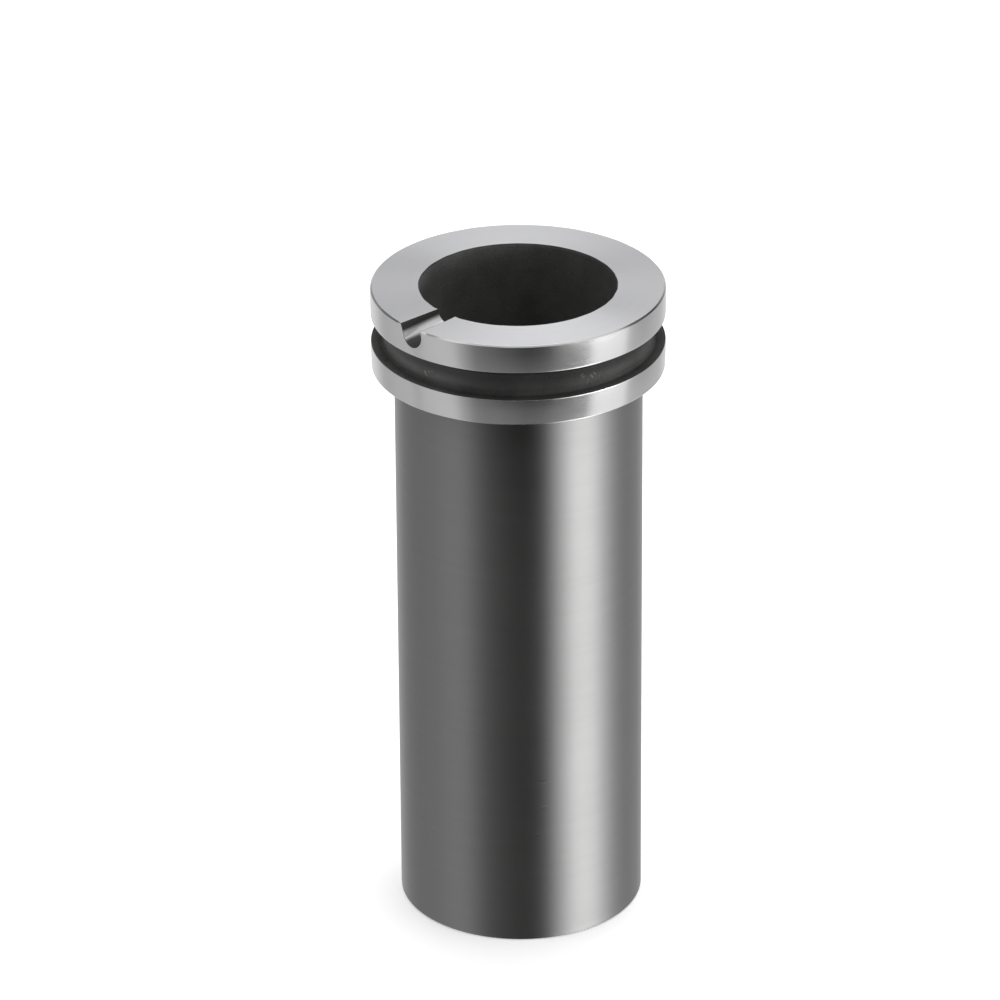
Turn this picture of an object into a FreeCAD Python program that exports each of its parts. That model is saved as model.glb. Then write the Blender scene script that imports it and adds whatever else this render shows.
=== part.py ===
import FreeCAD, Part
import os
from math import atan2, cos, degrees, sin

os.makedirs("parts", exist_ok=True)

# ---------------------------------------------------------------------------
# Small cylindrical melting crucible, turned from one bar of graphite.
# Millimetres. +Z is up along the bore axis, the origin is the middle of the
# flat underside, and the pour notch looks toward -Y.
# ---------------------------------------------------------------------------

# heights, from the top face down
height = 134.0          # underside to top face
upper_ring_h = 5.75     # upper collar ring, the one the pour notch is cut in
groove_h = 5.8          # open groove between the two rings, where tongs grip
lower_ring_h = 5.2      # lower collar ring, whose underside hangs on a seat

# radii
ring_r = 29.0           # both collar rings
groove_r = 26.7         # wall at the bottom of the groove
body_r = 24.5           # straight body
bore_r = 19.3           # straight bore
floor_t = 12.0          # thickness of the floor under the bore
floor_corner_r = 5.0    # round between the bore wall and its flat floor

# broken edges
rim_break = 0.3         # outer edge of the top face
mouth_break = 0.25      # inner edge of the top face
ring_break = 0.2        # the other edges of the two rings
foot_break = 0.5        # edge of the underside
groove_corner_r = 0.4   # tool-nose round in the two corners of the groove
collar_corner_r = 0.4   # tool-nose round under the lower ring

# pour notch: a round-bottomed channel through the upper ring, from the bore
# to the rim, deeper at the rim than at the bore. It was cut a little askew: its
# sides lean, and its bottom runs off to one side on its way out.
notch_r = 2.45          # radius of its round bottom, half its width
notch_depth_in = 2.0    # depth of its bottom below the top face at the bore
notch_depth_out = 4.05  # depth of its bottom below the top face at the rim
notch_lean = 22.0       # degrees its sides lean over, their tops toward -X
notch_drift = 0.57      # how far toward +X its bottom is at the rim
notch_overrun = 3.0     # how far the cutter runs past the bore and the rim

# ---------------------------------------------------------------------------
# levels that follow from these
# ---------------------------------------------------------------------------
z_top = height
z_upper_under = z_top - upper_ring_h
z_lower_top = z_upper_under - groove_h
z_collar_under = z_lower_top - lower_ring_h


def pt(r, z):
    return FreeCAD.Vector(r, 0, z)


def line(a, b):
    return Part.LineSegment(pt(*a), pt(*b)).toShape()


def arc(a, m, b):
    return Part.Arc(pt(*a), pt(*m), pt(*b)).toShape()


S = sin(3.141592653589793 / 4)

# The half section, drawn once round. Each entry is a corner of the section, or
# ("arc", middle, end) for a round between two straights.
section = [
    (0.0, 0.0),
    (body_r - foot_break, 0.0),
    (body_r, foot_break),
    (body_r, z_collar_under - collar_corner_r),
    ("arc",
     (body_r + collar_corner_r * (1 - S), z_collar_under - collar_corner_r * (1 - S)),
     (body_r + collar_corner_r, z_collar_under)),
    (ring_r - ring_break, z_collar_under),
    (ring_r, z_collar_under + ring_break),
    (ring_r, z_lower_top - ring_break),
    (ring_r - ring_break, z_lower_top),
    (groove_r + groove_corner_r, z_lower_top),
    ("arc",
     (groove_r + groove_corner_r * (1 - S), z_lower_top + groove_corner_r * (1 - S)),
     (groove_r, z_lower_top + groove_corner_r)),
    (groove_r, z_upper_under - groove_corner_r),
    ("arc",
     (groove_r + groove_corner_r * (1 - S), z_upper_under - groove_corner_r * (1 - S)),
     (groove_r + groove_corner_r, z_upper_under)),
    (ring_r - ring_break, z_upper_under),
    (ring_r, z_upper_under + ring_break),
    (ring_r, z_top - rim_break),
    (ring_r - rim_break, z_top),
    (bore_r + mouth_break, z_top),
    (bore_r, z_top - mouth_break),
    (bore_r, floor_t + floor_corner_r),
    ("arc",
     (bore_r - floor_corner_r * (1 - S), floor_t + floor_corner_r * (1 - S)),
     (bore_r - floor_corner_r, floor_t)),
    (0.0, floor_t),
]

edges = []
here = section[0]
for step in section[1:]:
    if step[0] == "arc":
        edges.append(arc(here, step[1], step[2]))
        here = step[2]
    else:
        edges.append(line(here, step))
        here = step
edges.append(line(here, section[0]))

blank = Part.Face(Part.Wire(edges)).revolve(
    FreeCAD.Vector(0, 0, 0), FreeCAD.Vector(0, 0, 1), 360)
blank = Part.Solid(blank) if blank.ShapeType == "Shell" else blank

# The notch cutter: a round bar with a flat-sided block of the same width
# standing on it, laid along the sloped line of the notch's bottom.
run = ring_r - bore_r
drop = notch_depth_out - notch_depth_in
turn = atan2(notch_drift, run)
slope = atan2(drop * cos(turn), run)
along = FreeCAD.Vector(sin(turn) * cos(slope), -cos(turn) * cos(slope), -sin(slope))
upward = FreeCAD.Vector(sin(turn) * sin(slope), -cos(turn) * sin(slope), cos(slope))

start_x = -notch_overrun * notch_drift / run
start_y = -(bore_r - notch_overrun)
start_depth = notch_depth_in - notch_overrun * drop / run
bottom_start = FreeCAD.Vector(start_x, start_y, z_top - start_depth)
axis_start = bottom_start + upward * notch_r
cut_length = (run + 2 * notch_overrun) / cos(slope) / cos(turn)

round_bar = Part.makeCylinder(notch_r, cut_length, axis_start, along)
block = Part.makeBox(2 * notch_r, cut_length, 4 * notch_r)
# the box's own -Y is turned onto the cut's direction, after it has been leant over
here = FreeCAD.Vector(0, 0, 0)
block.translate(FreeCAD.Vector(-notch_r, -cut_length, 0))
block.rotate(here, FreeCAD.Vector(0, 1, 0), -notch_lean)
block.rotate(here, FreeCAD.Vector(1, 0, 0), degrees(slope))
block.rotate(here, FreeCAD.Vector(0, 0, 1), degrees(turn))
block.translate(axis_start)
cutter = round_bar.fuse(block).removeSplitter()

crucible = blank.cut(cutter).removeSplitter()
if crucible.ShapeType != "Solid":
    crucible = crucible.Solids[0]

crucible.exportStep("parts/crucible.step")
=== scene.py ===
from math import atan2, cos, pi, radians, sin

import bpy
import numpy as np
from mathutils import Matrix, Vector


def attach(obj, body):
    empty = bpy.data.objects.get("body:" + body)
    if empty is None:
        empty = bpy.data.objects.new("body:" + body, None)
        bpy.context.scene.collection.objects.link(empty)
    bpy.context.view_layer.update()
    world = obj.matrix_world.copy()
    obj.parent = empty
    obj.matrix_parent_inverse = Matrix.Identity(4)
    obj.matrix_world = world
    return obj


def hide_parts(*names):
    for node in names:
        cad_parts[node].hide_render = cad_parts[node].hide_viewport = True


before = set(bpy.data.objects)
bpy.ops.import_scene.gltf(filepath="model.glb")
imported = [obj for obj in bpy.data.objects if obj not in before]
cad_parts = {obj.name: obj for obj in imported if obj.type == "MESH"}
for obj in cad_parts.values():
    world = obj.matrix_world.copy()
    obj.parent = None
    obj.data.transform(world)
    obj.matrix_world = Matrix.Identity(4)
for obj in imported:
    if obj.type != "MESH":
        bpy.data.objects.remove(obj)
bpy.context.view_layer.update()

scene = bpy.context.scene
MM = 0.001

# ---------------------------------------------------------------------------
# Sizes of the turned crucible, millimetres, +Z up, notch toward -Y.
# ---------------------------------------------------------------------------
Z_TOP = 134.0
Z_UPPER_UNDER = 128.25
Z_LOWER_TOP = 122.45
Z_COLLAR_UNDER = 117.25
RING_R = 29.0
GROOVE_R = 26.7
BODY_R = 24.5
BORE_R = 19.3
FLOOR_Z = 12.0
FLOOR_CORNER = 5.0
RIM_EDGE = 0.32         # broken outer edge of the top face
MOUTH_EDGE = 0.24       # broken inner edge of the top face
RING_CROWN = 0.045      # how far the ends of a ring's wall lie behind its middle
RING_EDGE = 0.12        # rounds on the other ring edges
FOOT_EDGE = 0.5
CORNER = 0.4            # tool-nose rounds in the inside corners
NOTCH_R = 2.45
NOTCH_IN = 2.0
NOTCH_OUT = 4.05
NOTCH_LEAN = radians(22)    # its sides lean over, their tops toward -X
NOTCH_DRIFT = 0.57      # its bottom runs off toward +X on its way out
NOTCH_EDGE = 0.10       # the notch's own edges are crisper
NOTCH_HALF = radians(14)

RUN = RING_R - BORE_R
SLOPE = atan2((NOTCH_OUT - NOTCH_IN) * cos(atan2(NOTCH_DRIFT, RUN)), RUN)
COS_SLOPE = cos(SLOPE)

BODY, RING, FACE, MATTE, NOTCH, BORE, EDGE, LIP = range(8)

# A broken edge, from one side to the other: how far out and how far down, in
# shares of its size. It is flat, with a small round at its upper end.
BREAK = ((-1.12, 0.0), (-0.94, 0.03), (-0.82, 0.13), (0.0, 0.95))
REACH = 1.12

# ---------------------------------------------------------------------------
# Columns: a run of them follows the notch's section from its left edge to its
# right edge, and the rest go round the back.
# ---------------------------------------------------------------------------
WALL_STEPS = 22         # from the notch's bottom to where its edge starts
EDGE_STEPS = 5          # round its edge
HALF = WALL_STEPS + EDGE_STEPS
INSIDE = 2 * HALF + 1
OUTSIDE = 479
K = INSIDE + OUTSIDE
BACK = 2 * pi - 2 * NOTCH_HALF
delta = np.concatenate([np.zeros(INSIDE), (np.arange(OUTSIDE) + 1) * BACK / (OUTSIDE + 1)])
is_in = np.arange(K) < INSIDE
theta_reg = np.concatenate([np.linspace(-NOTCH_HALF, NOTCH_HALF, INSIDE), NOTCH_HALF + delta[INSIDE:]])
away = np.minimum(delta, BACK - delta)          # how far past the notch's edge, as an angle


def ripple(t, seed, lowest, highest):
    """A smooth closed curve round the object, between about -1 and 1."""
    rng = np.random.default_rng(seed)
    out = np.zeros_like(t)
    for n in range(lowest, highest):
        out += rng.normal() * np.cos(n * t + rng.uniform(0, 2 * pi))
    return out / (np.abs(out).max() + 1e-9)


def smooth(t):
    t = np.clip(t, 0, 1)
    return t * t * (3 - 2 * t)


def section(y, side):
    """One half of the notch's section at each |y|, side 1 or -1: points, and normals into the material. y is (HALF + 1,)."""
    share = (y - BORE_R) / RUN
    depth = NOTCH_IN + (NOTCH_OUT - NOTCH_IN) * share
    level = depth * COS_SLOPE - NOTCH_R         # how far the top face is above the middle of the round
    to_wall = pi / 2 + side * NOTCH_LEAN        # how far round the flat side starts
    to_top = np.arccos(np.clip(-level / NOTCH_R, -1, 1))
    walled = level > -NOTCH_R * cos(to_wall)
    end = np.where(walled, to_wall, to_top)
    wall = np.where(walled, (level + NOTCH_R * cos(to_wall)) / sin(to_wall), 0.0)
    lean = np.arctan2(np.sin(end) / COS_SLOPE, np.cos(end))
    corner = NOTCH_R * np.sin(end) + wall * np.cos(end)
    tangent = NOTCH_EDGE * np.tan(lean / 2)
    length = NOTCH_R * end + wall - tangent
    j = np.arange(HALF + 1)
    s = length * np.minimum(j, WALL_STEPS) / WALL_STEPS
    psi = np.minimum(s / NOTCH_R, end)
    up = np.maximum(s - NOTCH_R * end, 0)
    x = NOTCH_R * np.sin(psi) + up * np.cos(end)
    z = Z_TOP - depth + (NOTCH_R - NOTCH_R * np.cos(psi) + up * np.sin(end)) / COS_SLOPE
    nx, nz = np.sin(psi) / COS_SLOPE, -np.cos(psi)
    n = np.hypot(nx, nz)
    nx, nz = nx / n, nz / n
    edge = j > WALL_STEPS
    a = lean * (1 - (j - WALL_STEPS) / EDGE_STEPS)
    x = np.where(edge, corner + tangent - NOTCH_EDGE * np.sin(a), x)
    z = np.where(edge, Z_TOP - NOTCH_EDGE + NOTCH_EDGE * np.cos(a), z)
    nx = np.where(edge, np.sin(a), nx)
    nz = np.where(edge, -np.cos(a), nz)
    return NOTCH_DRIFT * share + side * x, z, side * nx, nz


def top_row(rho, sink):
    """x, y, z of every column on the top side at radius rho, sunk into the material by sink (one value a column)."""
    X, Y, Z = np.zeros(K), np.zeros(K), np.zeros(K)
    beta = []
    for side, cols in ((1, np.arange(HALF, INSIDE)), (-1, np.arange(HALF, -1, -1))):
        x = side * np.linspace(0, NOTCH_R, HALF + 1)
        for _ in range(8):
            sx, sz, nx, nz = section(np.sqrt(rho ** 2 - x ** 2), side)
            x = sx + sink[cols] * nx
        y = np.sqrt(rho ** 2 - x ** 2)
        X[cols], Y[cols], Z[cols] = x, -y, sz + sink[cols] * nz
        beta.append(atan2(side * x[-1], y[-1]))
    d = delta[INSIDE:]
    th = np.where(d <= BACK / 2, beta[0] + d * (pi - beta[0]) / (BACK / 2),
                  2 * pi - beta[1] - (BACK - d) * (pi - beta[1]) / (BACK / 2))
    X[INSIDE:], Y[INSIDE:] = rho * np.sin(th), -rho * np.cos(th)
    Z[INSIDE:] = Z_TOP - sink[INSIDE:]
    return X, Y, Z


def angle_of(X, Y):
    """The angle round from -Y, unwrapped so that it runs on from the notch's left edge."""
    th = np.arctan2(X, -Y)
    return np.where(~is_in & (th < 0), th + 2 * pi, th)


rows, bands = [], []     # each row is (X, Y, Z); each band is the material of the faces up to the next row


def add(row, band):
    rows.append(row)
    bands.append(band)


def ring(r, z, band, theta=None):
    th = theta_reg if theta is None else theta
    r = r * np.ones(K)
    add((r * np.sin(th), -r * np.cos(th), z * np.ones(K)), band)


def quarter(cr, cz, rad, a0, a1, n, band, first=True, last=True):
    """Rows of a round in the section, centre (cr, cz), from angle a0 to a1 in degrees."""
    for i in range(0 if first else 1, n + 1 if last else n):
        a = radians(a0 + (a1 - a0) * i / n)
        ring(cr + rad * cos(a), cz + rad * sin(a), band)


# how the edge rounds differ a little round the object, as hand-finished edges do
wear_rim = 1 + 0.16 * ripple(theta_reg, 3, 2, 40)
wear_mouth = 1 + 0.16 * ripple(theta_reg, 5, 2, 40)

# bore floor and its corner
for r in (0.8, 2.5, 5.0, 8.0, 11.0, 13.4, 14.2):
    ring(r, FLOOR_Z, BORE)
quarter(BORE_R - FLOOR_CORNER, FLOOR_Z + FLOOR_CORNER, FLOOR_CORNER, -90, 0, 8, BORE)
# bore wall
for z in np.linspace(FLOOR_Z + FLOOR_CORNER + 0.4, Z_TOP - 9.0, 14):
    ring(BORE_R, z, BORE)
# bore wall below the mouth, where the columns gather onto the notch
in_edge = NOTCH_EDGE + (MOUTH_EDGE * wear_mouth - NOTCH_EDGE) * smooth(away * BORE_R / 1.2)
in_edge[is_in] = NOTCH_EDGE
out_edge = NOTCH_EDGE / 2 + (RIM_EDGE * wear_rim - NOTCH_EDGE / 2) * smooth(away * RING_R / 1.2)
out_edge[is_in] = NOTCH_EDGE / 2
Xa, Ya, Za = top_row(BORE_R, in_edge)
tha = angle_of(Xa, Ya)
for s in (0.0, 0.15, 0.32, 0.5, 0.66, 0.79, 0.88, 0.94, 0.975):
    ring(BORE_R, (1 - s) * (Z_TOP - 7.0) + s * Za, BORE, (1 - s) * theta_reg + s * tha)
# mouth edge
reach = REACH * in_edge.max()
for out, down in reversed(BREAK):
    e = in_edge * down
    # each column has its own place on its edge; it is found between the rows on either side
    t = -in_edge * out / reach
    X, Y, Z = top_row(BORE_R, e)
    if out:
        Xb, Yb, Zb = top_row(BORE_R + reach, e)
        X, Y, Z = X + (Xb - X) * t, Y + (Yb - Y) * t, Z + (Zb - Z) * t
    add((X, Y, Z), LIP)
# top face and notch floor
zero = np.zeros(K)
bands[-1] = FACE
lo_r, hi_r = BORE_R + reach + 0.04, RING_R - RING_CROWN - REACH * out_edge.max() - 0.04
for r in np.concatenate([[lo_r], np.linspace(lo_r + 0.2, hi_r - 0.2, 20), [hi_r]]):
    add(top_row(r, zero), FACE)
# rim edge
reach = REACH * out_edge.max()
rim_r = RING_R - RING_CROWN
for out, down in BREAK:
    e = out_edge * down
    t = -out_edge * out / reach
    X, Y, Z = top_row(rim_r, e)
    if out:
        Xb, Yb, Zb = top_row(rim_r - reach, e)
        X, Y, Z = X + (Xb - X) * t, Y + (Yb - Y) * t, Z + (Zb - Z) * t
    add((X, Y, Z), EDGE)
bands[-1] = RING
crisp = len(rows) - 1       # the edge below the break is left crisp
# upper ring wall, where the columns spread out again
Xc, Yc, Zc = rows[-1]
thc = angle_of(Xc, Yc)
low = Z_UPPER_UNDER + RING_EDGE
for s in (0.03, 0.07, 0.13, 0.21, 0.31, 0.42, 0.54, 0.67, 0.8, 0.9, 0.96):
    ring(RING_R - RING_CROWN * (2 * s - 1) ** 2, (1 - s) * Zc + s * low, RING, (1 - s) * thc + s * theta_reg)
quarter(RING_R - RING_CROWN - RING_EDGE, low, RING_EDGE, 0, -90, 4, RING)
# groove
bands[-1] = MATTE
ring(RING_R - RING_CROWN - RING_EDGE - 0.08, Z_UPPER_UNDER, MATTE)
ring(GROOVE_R + CORNER + 0.08, Z_UPPER_UNDER, MATTE)
quarter(GROOVE_R + CORNER, Z_UPPER_UNDER - CORNER, CORNER, 90, 180, 4, MATTE)
for t in (0.03, 0.3, 0.5, 0.7, 0.97):
    ring(GROOVE_R, (Z_UPPER_UNDER - CORNER) * (1 - t) + (Z_LOWER_TOP + CORNER) * t, MATTE)
quarter(GROOVE_R + CORNER, Z_LOWER_TOP + CORNER, CORNER, 180, 270, 4, MATTE)
ring(GROOVE_R + CORNER + 0.08, Z_LOWER_TOP, MATTE)
ring(RING_R - RING_EDGE - 0.08, Z_LOWER_TOP, MATTE)
# lower ring, whose wall leans in a little toward its lower end
quarter(RING_R - 0.5 * RING_CROWN - 0.06, Z_LOWER_TOP - 0.06, 0.06, 90, 0, 4, RING)
for t in (0.03, 0.2, 0.35, 0.5, 0.65, 0.8, 0.97):
    ring(RING_R - RING_CROWN * (2.6 * t * (0.15 + 0.85 * t) + 0.5 * max(0.0, 1 - t / 0.35) ** 2),
         (Z_LOWER_TOP - 0.06) * (1 - t) + (Z_COLLAR_UNDER + RING_EDGE) * t, RING)
quarter(RING_R - 2.6 * RING_CROWN - RING_EDGE, Z_COLLAR_UNDER + RING_EDGE, RING_EDGE, 0, -90, 4, RING)
# underside of the collar, and the body
bands[-1] = BODY
ring(RING_R - 2.6 * RING_CROWN - RING_EDGE - 0.08, Z_COLLAR_UNDER, BODY)
ring(BODY_R + CORNER + 0.08, Z_COLLAR_UNDER, BODY)
quarter(BODY_R + CORNER, Z_COLLAR_UNDER - CORNER, CORNER, 90, 180, 4, BODY)
for z in np.linspace(Z_COLLAR_UNDER - CORNER - 0.15, FOOT_EDGE + 0.15, 26):
    ring(BODY_R, z, BODY)
quarter(BODY_R - FOOT_EDGE, FOOT_EDGE, FOOT_EDGE, 0, -90, 6, BODY)
for r in (BODY_R - FOOT_EDGE - 0.15, 21.0, 17.0, 13.0, 9.0, 5.0, 2.0, 0.8):
    ring(r, 0.0, BODY)

R = len(rows)
grid = np.stack([np.stack(r, axis=1) for r in rows])            # R, K, 3
verts = np.concatenate([grid.reshape(-1, 3), [[0, 0, FLOOR_Z], [0, 0, 0]]]) * MM
i, k = np.meshgrid(np.arange(R - 1), np.arange(K), indexing="ij")
k2 = (k + 1) % K
quads = np.stack([i * K + k, i * K + k2, (i + 1) * K + k2, (i + 1) * K + k], axis=-1).reshape(-1, 4)
slots = np.repeat(np.array(bands[:-1]), K).reshape(R - 1, K)
notch_cols = np.arange(K) < INSIDE - 1
# the faces along the notch's near edge take the dark LIP slot: a painted shadow line
near_edge = notch_cols & (np.arange(K) >= INSIDE - 1 - EDGE_STEPS)
slots = np.where((slots == FACE) & near_edge[None, :], LIP, slots)
slots = np.where((slots == FACE) & notch_cols[None, :], NOTCH, slots)
slots = np.where((slots == EDGE) & notch_cols[None, :], LIP, slots).reshape(-1)
kk = np.arange(K)
kk2 = (kk + 1) % K
fan_floor = np.stack([np.full(K, R * K), kk2, kk], axis=-1)
fan_base = np.stack([np.full(K, R * K + 1), (R - 1) * K + kk, (R - 1) * K + kk2], axis=-1)
faces = [tuple(q) for q in quads.tolist()] + [tuple(t) for t in fan_floor.tolist()] + [tuple(t) for t in fan_base.tolist()]
slots = np.concatenate([slots, np.full(K, BORE), np.full(K, BODY)])

mesh = bpy.data.meshes.new("turned_crucible")
mesh.from_pydata(verts.tolist(), [], faces)
mesh.polygons.foreach_set("material_index", slots.astype(np.int32))
mesh.polygons.foreach_set("use_smooth", np.ones(len(faces), bool))
mesh.update()
ends = np.zeros(2 * len(mesh.edges), np.int32)
mesh.edges.foreach_get("vertices", ends)
ends = ends.reshape(-1, 2)
mesh.edges.foreach_set("use_edge_sharp", np.all((ends < R * K) & (ends // K == crisp), axis=1))
piece = bpy.data.objects.new("turned_crucible", mesh)
scene.collection.objects.link(piece)

# which way the faces look
tri = np.concatenate([quads[:, [0, 1, 2]], quads[:, [0, 2, 3]], fan_floor, fan_base])
a, b, c = verts[tri[:, 0]], verts[tri[:, 1]], verts[tri[:, 2]]
signed = float(np.einsum("ij,ij->i", a, np.cross(b, c)).sum() / 6)
if signed < 0:
    mesh.flip_normals()

# ---------------------------------------------------------------------------
# Materials
# ---------------------------------------------------------------------------


class Nodes:
    """Short names for the nodes of one material or world."""

    def __init__(self, owner):
        owner.use_nodes = True
        self.tree = owner.node_tree
        self.tree.nodes.clear()

    def new(self, kind, **props):
        node = self.tree.nodes.new(kind)
        for key, value in props.items():
            setattr(node, key, value)
        return node

    def put(self, value, socket):
        if isinstance(value, bpy.types.NodeSocket):
            self.tree.links.new(value, socket)
        elif value is not None:
            socket.default_value = value

    def math(self, op, a, b=None, c=None, clamp=False):
        node = self.new("ShaderNodeMath", operation=op, use_clamp=clamp)
        for n, v in enumerate((a, b, c)):
            if v is not None:
                self.put(v, node.inputs[n])
        return node.outputs[0]

    def vec(self, x, y, z):
        node = self.new("ShaderNodeCombineXYZ")
        for n, v in enumerate((x, y, z)):
            self.put(v, node.inputs[n])
        return node.outputs[0]

    def xyz(self):
        """Position on the object in metres, the radius from its axis, and the angle round it."""
        co = self.new("ShaderNodeTexCoord").outputs["Object"]
        sep = self.new("ShaderNodeSeparateXYZ")
        self.put(co, sep.inputs[0])
        x, y, z = sep.outputs
        r = self.math("SQRT", self.math("ADD", self.math("MULTIPLY", x, x), self.math("MULTIPLY", y, y)))
        th = self.math("ARCTAN2", x, self.math("MULTIPLY", y, -1.0))
        return co, x, y, z, r, th

    def noise(self, vector, scale, detail=2.0, rough=0.5, distortion=0.0, dims="3D"):
        node = self.new("ShaderNodeTexNoise", noise_dimensions=dims)
        self.put(vector, node.inputs["Vector"])
        node.inputs["Scale"].default_value = scale
        node.inputs["Detail"].default_value = detail
        node.inputs["Roughness"].default_value = rough
        node.inputs["Distortion"].default_value = distortion
        return node.outputs[0]

    def spread(self, value, a, b, c, d, clamp=True, smooth=False):
        """value from a..b laid onto c..d."""
        node = self.new("ShaderNodeMapRange", clamp=clamp, interpolation_type="SMOOTHSTEP" if smooth else "LINEAR")
        for n, v in enumerate((value, a, b, c, d)):
            self.put(v, node.inputs[n])
        return node.outputs[0]

    def mix(self, fac, a, b):
        node = self.new("ShaderNodeMix", data_type="RGBA")
        self.put(fac, node.inputs[0])
        self.put(a, node.inputs[6])
        self.put(b, node.inputs[7])
        return node.outputs[2]

    def grey(self, colour, factor):
        """colour, a constant, times a factor that varies."""
        node = self.new("ShaderNodeVectorMath", operation="SCALE")
        self.put(colour[:3], node.inputs[0])
        self.put(factor, node.inputs["Scale"])
        return node.outputs[0]

    def bump(self, height, distance, strength=1.0, normal=None):
        node = self.new("ShaderNodeBump")
        node.inputs["Strength"].default_value = strength
        node.inputs["Distance"].default_value = distance
        self.put(height, node.inputs["Height"])
        if normal is not None:
            self.put(normal, node.inputs["Normal"])
        return node.outputs[0]

    def around(self):
        return self.new("ShaderNodeTangent", direction_type="RADIAL", axis="Z").outputs[0]


def surface(n, colour, rough, normal=None, tangent=None, **fixed):
    shader = n.new("ShaderNodeBsdfPrincipled")
    n.put(colour, shader.inputs["Base Color"])
    n.put(rough, shader.inputs["Roughness"])
    if normal is not None:
        n.put(normal, shader.inputs["Normal"])
    if tangent is not None:
        n.put(tangent, shader.inputs["Tangent"])
    for key, value in fixed.items():
        shader.inputs[key.replace("_", " ")].default_value = value
    out = n.new("ShaderNodeOutputMaterial")
    n.tree.links.new(shader.outputs[0], out.inputs[0])
    return shader


def mark(n, th, z, angle, level, half, slant, depth, beside=0.7):
    """A short mark round the object at an angle in degrees and a height in mm: one edge darker by depth, the other lighter by its share beside."""
    off = n.math("SUBTRACT", th, radians(angle))
    here = n.spread(n.math("ABSOLUTE", off), radians(half) * 0.4, radians(half), depth, 0.0, smooth=True)
    up = n.math("SUBTRACT", n.math("SUBTRACT", z, level * MM), n.math("MULTIPLY", off, slant))
    dark = n.spread(n.math("ABSOLUTE", n.math("SUBTRACT", up, 0.0002)), 0.0001, 0.0003, 1.0, 0.0, smooth=True)
    if not beside:
        return n.math("MULTIPLY", here, n.math("MULTIPLY", dark, -1.0))
    light = n.spread(n.math("ABSOLUTE", n.math("ADD", up, 0.00025)), 0.0001, 0.0004, beside, 0.0, smooth=True)
    return n.math("MULTIPLY", here, n.math("SUBTRACT", light, dark))


def turned(name, colour, rough, lines, aniso, metallic=1.0, line_bump=0.0000025, faced=False, nicks=(), coat=0.0):
    """Polished graphite with the fine marks of the turning tool, round the axis. faced: the marks lie on the flat top,
    so they follow the radius, and the colour carries a painted highlight that grows toward +X.
    """
    mat = bpy.data.materials.new(name)
    n = Nodes(mat)
    co, x, y, z, r, th = n.xyz()
    along = r if faced else z
    # fine lines, broken up a little round the object
    drift = n.noise(co, 60.0, 2.0)
    pos = n.math("ADD", along, n.math("MULTIPLY", drift, 0.00004))
    fine = n.noise(n.vec(0.0, n.math("MULTIPLY", th, 0.00035), pos), 5200.0, 3.0, 0.65)
    broad = n.noise(n.vec(0.0, n.math("MULTIPLY", th, 0.0015), pos), 620.0, 3.0, 0.6)
    cloud = n.noise(co, 42.0, 4.0, 0.6)
    tone = n.math("ADD", n.spread(fine, 0.3, 0.7, -lines, lines), n.spread(broad, 0.3, 0.7, -0.9 * lines, 0.9 * lines))
    tone = n.math("ADD", tone, n.spread(cloud, 0.3, 0.7, -0.035, 0.035))
    # painted highlight: the faced top is made lighter toward +X
    tone = n.math("ADD", tone, n.math("MULTIPLY_ADD", x, 2.4, 1.0) if faced else 1.0)
    for where in nicks:
        tone = n.math("ADD", tone, mark(n, th, z, *where))
    rr = n.math("ADD", n.spread(fine, 0.3, 0.7, rough - 0.025, rough + 0.025), n.spread(cloud, 0.3, 0.7, -0.02, 0.02))
    height = n.math("ADD", fine, n.math("MULTIPLY", broad, 0.8))
    normal = n.bump(height, line_bump)
    surface(n, n.grey(colour, tone), rr, normal, n.around(), Metallic=metallic, Anisotropic=aniso, Anisotropic_Rotation=0.25,
            Coat_Weight=coat, Coat_Roughness=0.12, Coat_IOR=1.5)
    return mat


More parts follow.
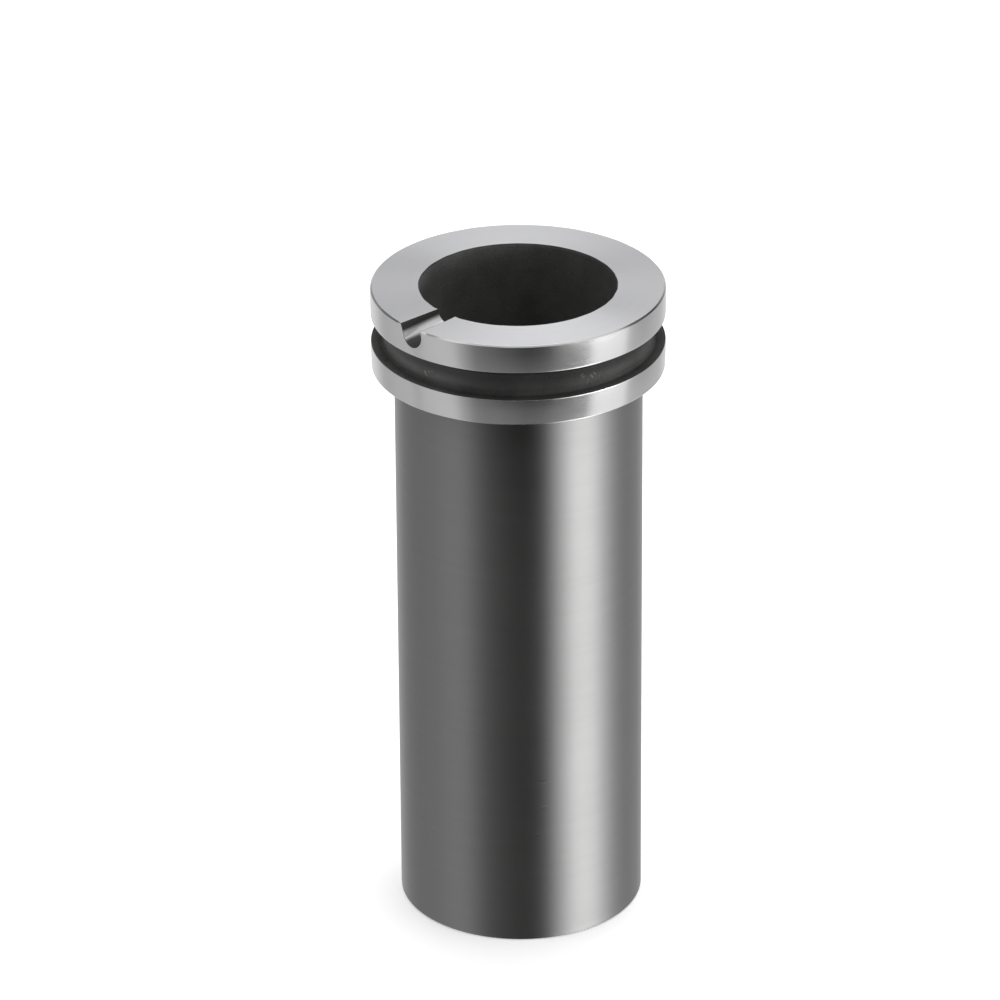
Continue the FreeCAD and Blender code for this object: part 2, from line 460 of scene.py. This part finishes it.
def matte(name, colour, rough, ior, wall=None, flecks=()):
    """Graphite as the tool left it, unpolished and porous. wall: heights of the lower and upper end of a wall that has
    been rubbed smooth between them; its colour carries painted shade under its upper end and painted light toward its
    lower end.
    """
    mat = bpy.data.materials.new(name)
    n = Nodes(mat)
    co, x, y, z, r, th = n.xyz()
    grain = n.noise(co, 3200.0, 3.0, 0.6)
    cloud = n.noise(co, 120.0, 4.0, 0.6)
    marks = n.noise(n.vec(0.0, n.math("MULTIPLY", th, 0.002), z), 2600.0, 2.0, 0.6)
    cells = n.new("ShaderNodeTexVoronoi")
    n.put(co, cells.inputs["Vector"])
    cells.inputs["Scale"].default_value = 900.0
    pits = n.spread(cells.outputs["Distance"], 0.05, 0.22, 1.0, 0.0)
    few = n.spread(n.noise(co, 260.0, 2.0), 0.56, 0.66, 0.0, 1.0)
    pits = n.math("MULTIPLY", pits, few)
    # scattered short light scratches, lying mostly round the object
    streak = n.noise(n.vec(n.math("MULTIPLY", th, 0.004), n.math("MULTIPLY", r, 0.2), z), 1500.0, 3.0, 0.7, 0.4)
    here = n.spread(n.noise(co, 150.0, 2.0), 0.55, 0.7, 0.0, 1.0)
    streak = n.math("MULTIPLY", n.spread(streak, 0.62, 0.72, 0.0, 1.0), here)
    tone = n.math("ADD", n.spread(cloud, 0.3, 0.7, 0.8, 1.2), n.spread(grain, 0.3, 0.7, -0.16, 0.16))
    tone = n.math("ADD", tone, n.spread(marks, 0.3, 0.7, -0.06, 0.06))
    tone = n.math("ADD", tone, n.math("MULTIPLY", streak, 0.5))
    tone = n.math("MULTIPLY", tone, n.spread(pits, 0.0, 1.0, 1.0, 0.45))
    for where in flecks:
        tone = n.math("ADD", tone, mark(n, th, z, *where, beside=0.0))
    height = n.math("SUBTRACT", n.math("ADD", grain, n.math("MULTIPLY", marks, 0.6)), n.math("MULTIPLY", pits, 2.0))
    normal = n.bump(height, 0.00002)
    rubbed = None
    if wall:
        low, high = wall[0] * MM, wall[1] * MM
        # painted shade: the wall's colour and specular level are turned down just under the upper ring
        under = n.spread(z, high - 0.0016, high - 0.0011, 1.0, 0.65, smooth=True)
        rubbed = n.math("MULTIPLY", n.spread(z, low + 0.0004, low + 0.0014, 0.0, 0.38, smooth=True), under)
        # painted light: the wall's colour is lifted toward its lower corner, most of all beside the notch and round at
        # 110 degrees from it, and on the shelf at its foot in front
        beside = n.spread(n.math("COSINE", n.math("ADD", th, radians(20))), cos(radians(48)), cos(radians(28)), 0.9, 4.3, smooth=True)
        beyond = n.spread(n.math("COSINE", n.math("SUBTRACT", th, radians(110))), cos(radians(52)), cos(radians(20)), 0.0, 1.9, smooth=True)
        painted_light = n.math("MULTIPLY", n.spread(z, low + 0.0012, low + 0.0038, 1.0, 0.0, smooth=True), n.math("ADD", beside, beyond))
        front = n.spread(n.math("COSINE", n.math("SUBTRACT", th, radians(50))), cos(radians(60)), cos(radians(30)), 0.0, 0.9, smooth=True)
        shelf = n.math("MULTIPLY", n.spread(z, low + 0.0004, low + 0.0013, 1.0, 0.0, smooth=True), front)
        painted_light = n.math("ADD", painted_light, shelf)
        # the rubbing fades out toward both sides of the notch's half
        left = n.spread(n.math("COSINE", n.math("ADD", th, radians(60))), cos(radians(46)), cos(radians(30)), 1.0, 0.45, smooth=True)
        right = n.spread(n.math("COSINE", n.math("SUBTRACT", th, radians(90))), cos(radians(46)), cos(radians(26)), 1.0, 0.4, smooth=True)
        rubbed = n.math("MULTIPLY", rubbed, n.math("MULTIPLY", left, right))
        # painted shade at the top of the wall, painted light toward its foot
        tone = n.math("MULTIPLY", n.math("MULTIPLY", tone, under), n.math("ADD", painted_light, 1.0))
    shader = surface(n, n.grey(colour, tone), n.spread(grain, 0.3, 0.7, rough - 0.06, rough + 0.06), normal,
                     Metallic=0.0, IOR=ior)
    n.put(rubbed, shader.inputs["Specular IOR Level"])
    return mat


def milled(name, rough):
    """The notch: a band along each side of its floor is polished; its upper walls and the bottom of its outlet are
    unpolished and carry painted shade, a dark colour standing in for the reflections there. Marks lie along the
    cutter's path.
    """
    mat = bpy.data.materials.new(name)
    n = Nodes(mat)
    co, x, y, z, r, th = n.xyz()
    lines = n.noise(n.vec(x, n.math("MULTIPLY", y, 0.03), z), 5000.0, 3.0, 0.6)
    cloud = n.noise(co, 200.0, 3.0, 0.6)
    tone = n.math("ADD", n.spread(lines, 0.3, 0.7, 0.93, 1.07), n.spread(cloud, 0.3, 0.7, -0.05, 0.05))
    # the polish starts 1.2 mm below the top face at the bore and 1.7 mm at the rim, with painted shade above it
    start = n.spread(r, BORE_R * MM, RING_R * MM, (Z_TOP - 1.2) * MM, (Z_TOP - 1.7) * MM)
    side = n.spread(n.math("SUBTRACT", z, start), -0.0005, 0.0005, 0.0, 1.0, smooth=True)
    # and it ends 2.1 mm below it at the bore, which is past the bottom there, and 2.9 mm at the rim, with painted shade
    # below it
    stop = n.spread(r, BORE_R * MM, RING_R * MM, (Z_TOP - 2.1) * MM, (Z_TOP - 2.9) * MM)
    deep = n.spread(n.math("SUBTRACT", stop, z), -0.0002, 0.0005, 0.0, 0.93, smooth=True)
    dull_painted_shade = n.math("MAXIMUM", side, deep)
    colour = n.mix(dull_painted_shade, (0.58, 0.58, 0.585, 1.0), (0.036, 0.036, 0.035, 1.0))
    scaled = n.new("ShaderNodeVectorMath", operation="SCALE")
    n.put(colour, scaled.inputs[0])
    outward = n.spread(r, BORE_R * MM, RING_R * MM, 0.86, 1.34)
    # painted shade: darker still further down past the polished band's end
    deeper = n.spread(n.math("SUBTRACT", stop, z), 0.0, 0.001, 1.0, 0.4)
    n.put(n.math("MULTIPLY", tone, n.math("MULTIPLY", outward, deeper)), scaled.inputs["Scale"])
    shader = surface(n, scaled.outputs[0], n.spread(lines, 0.3, 0.7, rough - 0.03, rough + 0.03),
                     n.bump(lines, 0.000003), Specular_IOR_Level=0.0)
    n.put(n.math("MULTIPLY", n.math("SUBTRACT", 1.0, dull_painted_shade), 0.45), shader.inputs["Metallic"])
    return mat


mats = {
    BODY: turned("graphite_body", (0.275, 0.274, 0.273), 0.50, 0.022, 0.9, nicks=(
        (56.4, 36.15, 3.0, 0.0, 0.16), (57.4, 30.35, 2.2, 0.0, -0.16), (54.5, 24.2, 1.6, 0.0, -0.14),
        (0.5, 21.6, 1.6, -0.01, -0.14), (-8.6, 23.1, 2.9, 0.0735, -0.07)), coat=0.28),
    RING: turned("graphite_ring", (0.60, 0.60, 0.60), 0.20, 0.010, 0.3),
    FACE: turned("graphite_face", (0.67, 0.672, 0.685), 0.42, 0.012, 0.85, faced=True),
    MATTE: matte("graphite_groove", (0.0195, 0.0195, 0.019), 0.36, 1.54, wall=(Z_LOWER_TOP, Z_UPPER_UNDER), flecks=(
        (3.6, 124.2, 0.6, 0.01, -1.6), (4.3, 123.7, 0.6, -0.03, -1.4), (5.8, 124.5, 0.5, -0.03, -1.6),
        (7.4, 124.9, 0.8, 0.0, -0.7), (73.6, 125.3, 1.1, 0.01, -1.2), (74.2, 124.8, 1.0, 0.01, -1.1),
        (78.3, 124.5, 0.9, -0.025, -1.7), (79.8, 124.9, 0.9, -0.025, -1.4), (76.4, 123.6, 0.7, 0.06, -0.7),
        (82.4, 124.6, 0.6, 0.08, -0.7))),
    NOTCH: milled("graphite_notch", 0.25),
    BORE: matte("graphite_bore", (0.102, 0.102, 0.0995), 0.60, 1.25),
    EDGE: turned("graphite_edge", (0.60, 0.60, 0.60), 0.20, 0.010, 0.3),
    LIP: matte("graphite_lip", (0.045, 0.045, 0.044), 0.55, 1.25),
}
for n_slot in range(8):
    mesh.materials.append(mats[n_slot])

weighted = piece.modifiers.new("edges", "WEIGHTED_NORMAL")
weighted.mode = "FACE_AREA"
weighted.weight = 60
weighted.keep_sharp = True

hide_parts("crucible")
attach(piece, "root")

# ---------------------------------------------------------------------------
# Floor, light, camera
# ---------------------------------------------------------------------------
floor_mesh = bpy.data.meshes.new("floor")
S = 6.0
floor_mesh.from_pydata([(-S, -S, 0), (S, -S, 0), (S, S, 0), (-S, S, 0)], [], [(0, 1, 2, 3)])
floor = bpy.data.objects.new("floor", floor_mesh)
scene.collection.objects.link(floor)
floor.visible_glossy = False
fm = bpy.data.materials.new("floor")
n = Nodes(fm)
sh = surface(n, (0.86, 0.86, 0.86, 1.0), 0.9, Metallic=0.0, Specular_IOR_Level=0.0)
sh.inputs["Emission Color"].default_value = (1, 1, 1, 1)
sh.inputs["Emission Strength"].default_value = 0.35
floor_mesh.materials.append(fm)

# The camera stands 46.3 degrees round from the notch.
TURN = radians(46.3)
DH, ZC, PITCH, YAW, ROLL, F_PX = 1145.1917, 654.1576, 0.4599339, -0.0033342, -0.0069149, 6423.933


def turn(v):
    c, s = cos(TURN), sin(TURN)
    return Vector((c * v[0] - s * v[1], s * v[0] + c * v[1], v[2]))


look = turn((sin(YAW) * cos(PITCH), cos(YAW) * cos(PITCH), -sin(PITCH)))
right0 = turn((cos(YAW), -sin(YAW), 0.0))
up0 = right0.cross(look)
right = right0 * cos(ROLL) + up0 * sin(ROLL)
up = right0 * -sin(ROLL) + up0 * cos(ROLL)
cam_data = bpy.data.cameras.new("camera")
cam_data.sensor_width = 36.0
cam_data.lens = F_PX / 1000 * 36.0
cam_data.clip_start = 0.05
cam_data.clip_end = 30.0
camera = bpy.data.objects.new("camera", cam_data)
scene.collection.objects.link(camera)
m = Matrix((
    (right.x, up.x, -look.x, 0),
    (right.y, up.y, -look.y, 0),
    (right.z, up.z, -look.z, 0),
    (0, 0, 0, 1),
))
m.translation = turn((0.0, -DH, ZC)) * MM
camera.matrix_world = m
scene.camera = camera

# The studio round the object. At and above the table's level: a white wall behind
# it, a dim room to the left and on the camera's side, and one narrow strip light
# on the right. Below that level: what the pale table gives back, brightest on both
# sides and dim in front. Higher up: pale walls behind, and one soft band in front.
# Over it all hangs one wide soft light.
world = bpy.data.worlds.new("studio")
scene.world = world
w = Nodes(world)
direction = w.new("ShaderNodeTexCoord").outputs["Generated"]
to_cam = turn((0.0, -1.0, 0.0))
to_right = turn((1.0, 0.0, 0.0))


def dot(vector):
    node = w.new("ShaderNodeVectorMath", operation="DOT_PRODUCT")
    w.put(direction, node.inputs[0])
    node.inputs[1].default_value = vector
    return node.outputs["Value"]


def bearings(stops, peak):
    """Brightness by bearing, in degrees to the right of the camera's own, as seen from the object."""
    ramp = w.new("ShaderNodeValToRGB")
    w.put(bearing01, ramp.inputs[0])
    ramp.color_ramp.interpolation = "EASE"
    el = ramp.color_ramp.elements
    while len(el) < len(stops):
        el.new(0.5)
    for e, (deg, v) in zip(el, stops):
        e.position = (deg + 180) / 360
        e.color = (v / peak, v / peak, v / peak, 1)
    return w.math("MULTIPLY", ramp.outputs[0], peak)


def blend(fac, a, b):
    """a where fac is 0, b where it is 1."""
    return w.math("ADD", w.math("MULTIPLY", a, w.math("SUBTRACT", 1.0, fac)), w.math("MULTIPLY", b, fac))


bearing01 = w.spread(w.math("ARCTAN2", dot(to_right), dot(to_cam)), -pi, pi, 0.0, 1.0)
height = dot((0, 0, 1))
table = bearings([
    (-180, 1.1), (-152, 1.08), (-128, 0.74), (-105, 0.84), (-92, 0.86), (-86, 0.68), (-80, 0.88), (-60, 0.95),
    (-52, 0.92), (-43, 0.52), (-33, 0.25), (-20, 0.18), (-8, 0.11), (8, 0.05), (20, 0.07), (34, 0.18), (54, 0.34),
    (61, 1.3), (66, 1.5), (91, 1.45), (97, 0.75), (112, 0.65), (140, 0.8), (162, 1.0), (180, 1.1)], 2.0)
near = bearings([
    (-180, 0.0), (-70, 0.0), (-40, 0.2), (-10, 0.35), (20, 0.35), (45, 0.18), (70, 0.0), (85, 0.0), (97, 0.18),
    (112, 0.38), (130, 0.24), (150, 0.0), (180, 0.0)], 0.4)
edge = bearings([
    (-180, 0.2), (-170, 0.45), (-158, 0.95), (-146, 0.8), (-134, 0.2), (-120, 0.0), (85, 0.0), (105, 0.15),
    (125, 0.2), (145, 0.4), (158, 0.4), (170, 0.3), (180, 0.2)], 1.0)
room = bearings([
    (-180, 1.05), (-166, 0.85), (-152, 0.5), (-138, 0.42), (-124, 0.26), (-112, 0.14), (-102, 0.1), (-88, 0.65),
    (-55, 0.85), (-42, 0.5), (-25, 0.1), (0, 0.02), (20, 0.04), (40, 0.8), (97, 1.0), (107, 0.12), (130, 0.08),
    (142, 0.4), (156, 0.85), (180, 1.05)], 1.5)
strip = bearings([
    (-180, 0.0), (23, 0.0), (37, 5.4), (53, 17.0), (66, 18.2), (82, 4.2), (94, 0.8), (110, 0.5), (135, 0.4),
    (150, 0.0), (180, 0.0)], 18.2)
upper = bearings([
    (-180, 1.25), (-160, 1.65), (-142, 1.6), (-125, 0.5), (-98, 0.25), (-86, 1.0), (-70, 1.0), (-52, 0.1),
    (50, 0.1), (68, 1.2), (98, 1.3), (105, 1.0), (112, 0.6), (125, 0.9), (142, 1.7), (160, 1.75), (180, 1.25)], 2.0)
brow = bearings([
    (-180, 0.0), (-98, 0.0), (-84, 0.3), (-66, 0.6), (-50, 0.8), (-25, 0.65), (0, 0.55), (25, 0.65), (50, 0.9), (62, 0.4), (74, 0.0), (180, 0.0)], 1.0)
rise = w.spread(height, sin(radians(-25.5)), sin(radians(-31)), 0.0, 1.0, smooth=True)
fall = w.spread(height, sin(radians(-34)), sin(radians(-42)), 0.0, 1.3, smooth=True)
table = w.math("ADD", table, w.math("MULTIPLY", near, w.math("SUBTRACT", rise, fall)))
below = w.spread(height, sin(radians(-30)), sin(radians(-37)), 0.0, 1.0, smooth=True)
table = w.math("ADD", table, w.math("MULTIPLY", edge, below))
level = blend(w.spread(height, -0.1, 0.1, 0.0, 1.0, smooth=True), table, room)
level = blend(w.spread(height, sin(radians(36)), sin(radians(48)), 0.0, 1.0, smooth=True), level, upper)
above = w.spread(height, sin(radians(45)), sin(radians(51)), 0.0, 1.0, smooth=True)
beyond = w.spread(height, sin(radians(66)), sin(radians(71)), 1.0, 0.0, smooth=True)
level = w.math("ADD", level, w.math("MULTIPLY", brow, w.math("MULTIPLY", above, beyond)))
low = w.spread(height, sin(radians(-16)), sin(radians(-9)), 0.0, 1.0, smooth=True)
high = w.spread(height, sin(radians(3)), sin(radians(10)), 1.0, 0.0, smooth=True)
deep = w.math("SUBTRACT", w.spread(height, sin(radians(-36)), sin(radians(-44)), 0.0, 0.5, smooth=True),
              w.spread(height, sin(radians(-56)), sin(radians(-64)), 0.0, 0.5, smooth=True))
level = w.math("ADD", level, w.math("MULTIPLY", strip, w.math("MULTIPLY_ADD", low, high, deep)))
level = blend(w.spread(height, cos(radians(22)), cos(radians(14)), 0.0, 1.0, smooth=True), level, 2.25)
# what the camera itself sees past the floor is the pale backdrop
path = w.new("ShaderNodeLightPath").outputs["Is Camera Ray"]
level = blend(path, level, 1.0)
bg = w.new("ShaderNodeBackground")
w.put(level, bg.inputs["Strength"])
wo = w.new("ShaderNodeOutputWorld")
w.tree.links.new(bg.outputs[0], wo.inputs[0])


def softbox(name, where, size, power, target=(0, 0, 0.07)):
    data = bpy.data.lights.new(name, "AREA")
    data.shape = "RECTANGLE"
    data.size, data.size_y = size
    data.energy = power
    obj = bpy.data.objects.new(name, data)
    scene.collection.objects.link(obj)
    obj.location = where
    obj.rotation_euler = (Vector(target) - Vector(where)).to_track_quat("-Z", "Y").to_euler()
    return obj


softbox("overhead", turn((0.1, 0.25, 1.6)), (1.4, 1.4), 14.0).visible_glossy = False

scene.view_settings.view_transform = "Standard"
scene.view_settings.look = "None"
